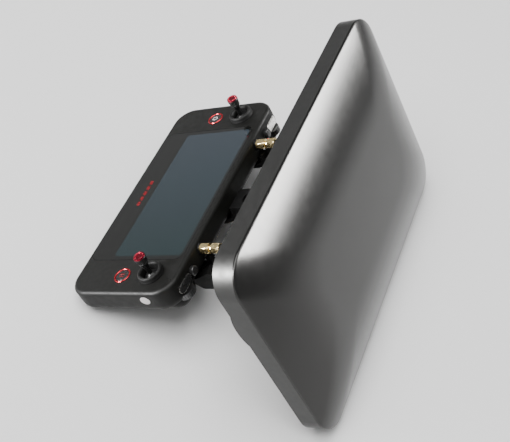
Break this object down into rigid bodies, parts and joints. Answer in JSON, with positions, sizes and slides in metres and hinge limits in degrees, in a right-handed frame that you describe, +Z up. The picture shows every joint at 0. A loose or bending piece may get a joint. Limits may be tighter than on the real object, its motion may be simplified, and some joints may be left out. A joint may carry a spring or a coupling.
{
  "type": "remote controller with panel antenna",
  "caption": "Hand-held remote controller with a built-in touch display, spring-centred sticks and a flat directional antenna panel on a tilting bracket.",
  "frame": {"origin": "centre of the footprint, on the surface the object stands on", "axes": "+X to the user's right along the controller, +Y away from the user towards the antenna panel, +Z up; the face leans towards the user by about 30 degrees"},
  "size_m": [0.292, 0.2354, 0.1664],
  "materials": {
    "case_plastic": "fine matte texture",
    "soft_pad": "matte rubber",
    "screen_glass": "polished cover glass",
    "display": "dim blue-grey display layer",
    "mid_metal": "milled aluminium",
    "board_green": "solder mask",
    "battery_wrap": "wrapped cells",
    "speaker_black": "moulded",
    "port_steel": "stamped steel",
    "collar_rubber": "satin rubber",
    "gimbal_metal": "cast and machined",
    "stick_steel": "turned steel",
    "stick_black": "black knurled metal",
    "red_crown": "red anodised look",
    "red_ring": "red anodised",
    "button_black": "satin black",
    "chrome_trim": "polished",
    "brass_gold": "gold plated brass",
    "cable_black": "coaxial lead jacket",
    "arm_black": "black powder coat",
    "screw_steel": "black oxide",
    "dot_white": "paper seal",
    "panel_grey": "light matte grey",
    "panel_dark": "dark matte grey",
    "reflector": "sheet"
  },
  "bodies": {
    "controller": {"antenna_jacks": "brass_gold", "battery_pack": "battery_wrap", "brass_inserts": "brass_gold", "button_rings": "red_ring", "case_screws": "screw_steel", "centre_arm": "arm_black", "claws": "arm_black", "control_boards": "board_green", "cover_glass": "screen_glass", "dial_axles": "stick_steel", "display_module": "display", "friction_washers": "stick_steel", "front_shell": "case_plastic", "gimbal_frames": "gimbal_metal", "hdmi_port": "port_steel", "hinge_rod": "stick_steel", "lead_plugs": "brass_gold", "left_lead": "cable_black", "main_board": "board_green", "mid_frame": "mid_metal", "mount_plate": "arm_black", "rear_shell": "case_plastic", "ridge_pads": "soft_pad", "right_lead": "cable_black", "rod_nuts": "screw_steel", "seal_dot": "dot_white", "shoulder_bezels": "chrome_trim", "side_arms": "arm_black", "speaker": "speaker_black", "stick_collars": "collar_rubber", "usb_port": "port_steel"},
    "left_yoke": {"left_yoke": "gimbal_metal"},
    "right_yoke": {"right_yoke": "gimbal_metal"},
    "left_stick": {"left_stick_shaft": "stick_black", "left_stick_head": "stick_black", "left_stick_crown": "red_crown"},
    "right_stick": {"right_stick_shaft": "stick_black", "right_stick_head": "stick_black", "right_stick_crown": "red_crown"},
    "home_button": {"home_button": "button_black"},
    "pause_button": {"pause_button": "button_black"},
    "power_button": {"power_button": "button_black"},
    "left_shoulder_button": {"left_shoulder_button": "chrome_trim"},
    "right_shoulder_button": {"right_shoulder_button": "button_black"},
    "left_round_button": {"left_round_button": "button_black"},
    "right_round_button": {"right_round_button": "button_black"},
    "left_dial": {"left_dial": "port_steel"},
    "right_dial": {"right_dial": "port_steel"},
    "panel": {"panel_bracket": "arm_black", "panel_screws": "screw_steel", "rear_cover": "panel_dark", "panel_frame": "panel_dark", "ear_pads": "soft_pad", "gasket": "soft_pad", "radome": "panel_grey", "reflector_plate": "reflector", "patch_posts": "stick_steel", "patch_boards": "board_green", "panel_jacks": "brass_gold", "panel_plugs": "brass_gold"}
  },
  "joints": [
    {"name": "left_yoke_tilt", "type": "hinge", "parent": "controller", "child": "left_yoke", "pos_m": [-0.093, -0.04994, 0.05188], "axis": [1, 0, 0], "range_deg": [-20, 20], "stiffness_Nm_per_rad": 0.01},
    {"name": "left_stick_tilt", "type": "hinge", "parent": "left_yoke", "child": "left_stick", "pos_m": [-0.093, -0.04994, 0.05188], "axis": [0, 0.8617, 0.5074], "range_deg": [-20, 20], "stiffness_Nm_per_rad": 0.01},
    {"name": "right_yoke_tilt", "type": "hinge", "parent": "controller", "child": "right_yoke", "pos_m": [0.093, -0.04994, 0.05188], "axis": [1, 0, 0], "range_deg": [-20, 20], "stiffness_Nm_per_rad": 0.01},
    {"name": "right_stick_tilt", "type": "hinge", "parent": "right_yoke", "child": "right_stick", "pos_m": [0.093, -0.04994, 0.05188], "axis": [0, 0.8617, 0.5074], "range_deg": [-20, 20], "stiffness_Nm_per_rad": 0.01},
    {"name": "home_button_press", "type": "slide", "parent": "controller", "child": "home_button", "axis": [0, 0.5074, -0.8617], "range_m": [0, 0.0008], "stiffness_N_per_m": 300, "springref_m": -0.0004},
    {"name": "pause_button_press", "type": "slide", "parent": "controller", "child": "pause_button", "axis": [0, 0.5074, -0.8617], "range_m": [0, 0.0008], "stiffness_N_per_m": 300, "springref_m": -0.0004},
    {"name": "power_button_press", "type": "slide", "parent": "controller", "child": "power_button", "axis": [0, 0.8617, 0.5074], "range_m": [0, 0.0006], "stiffness_N_per_m": 300, "springref_m": -0.0004},
    {"name": "left_shoulder_button_press", "type": "slide", "parent": "controller", "child": "left_shoulder_button", "axis": [0, -0.8617, -0.5074], "range_m": [0, 0.0008], "stiffness_N_per_m": 300, "springref_m": -0.0004},
    {"name": "left_round_button_press", "type": "slide", "parent": "controller", "child": "left_round_button", "axis": [0, -0.8617, -0.5074], "range_m": [0, 0.0015], "stiffness_N_per_m": 300, "springref_m": -0.0004},
    {"name": "right_shoulder_button_press", "type": "slide", "parent": "controller", "child": "right_shoulder_button", "axis": [0, -0.8617, -0.5074], "range_m": [0, 0.0008], "stiffness_N_per_m": 300, "springref_m": -0.0004},
    {"name": "right_round_button_press", "type": "slide", "parent": "controller", "child": "right_round_button", "axis": [0, -0.8617, -0.5074], "range_m": [0, 0.0015], "stiffness_N_per_m": 300, "springref_m": -0.0004},
    {"name": "left_dial_turn", "type": "hinge", "parent": "controller", "child": "left_dial", "pos_m": [-0.093, -0.02423, 0.05077], "axis": [0, -0.5074, 0.8617], "range_deg": [-20, 20], "stiffness_Nm_per_rad": 0.002},
    {"name": "right_dial_turn", "type": "hinge", "parent": "controller", "child": "right_dial", "pos_m": [0.093, -0.02423, 0.05077], "axis": [0, -0.5074, 0.8617], "range_deg": [-20, 20], "stiffness_Nm_per_rad": 0.002},
    {"name": "panel_tilt", "type": "hinge", "parent": "controller", "child": "panel", "pos_m": [0, 0.04099, 0.07757], "axis": [1, 0, 0], "range_deg": [-25, 40], "deforming": ["left_lead", "right_lead"]}
  ]
}
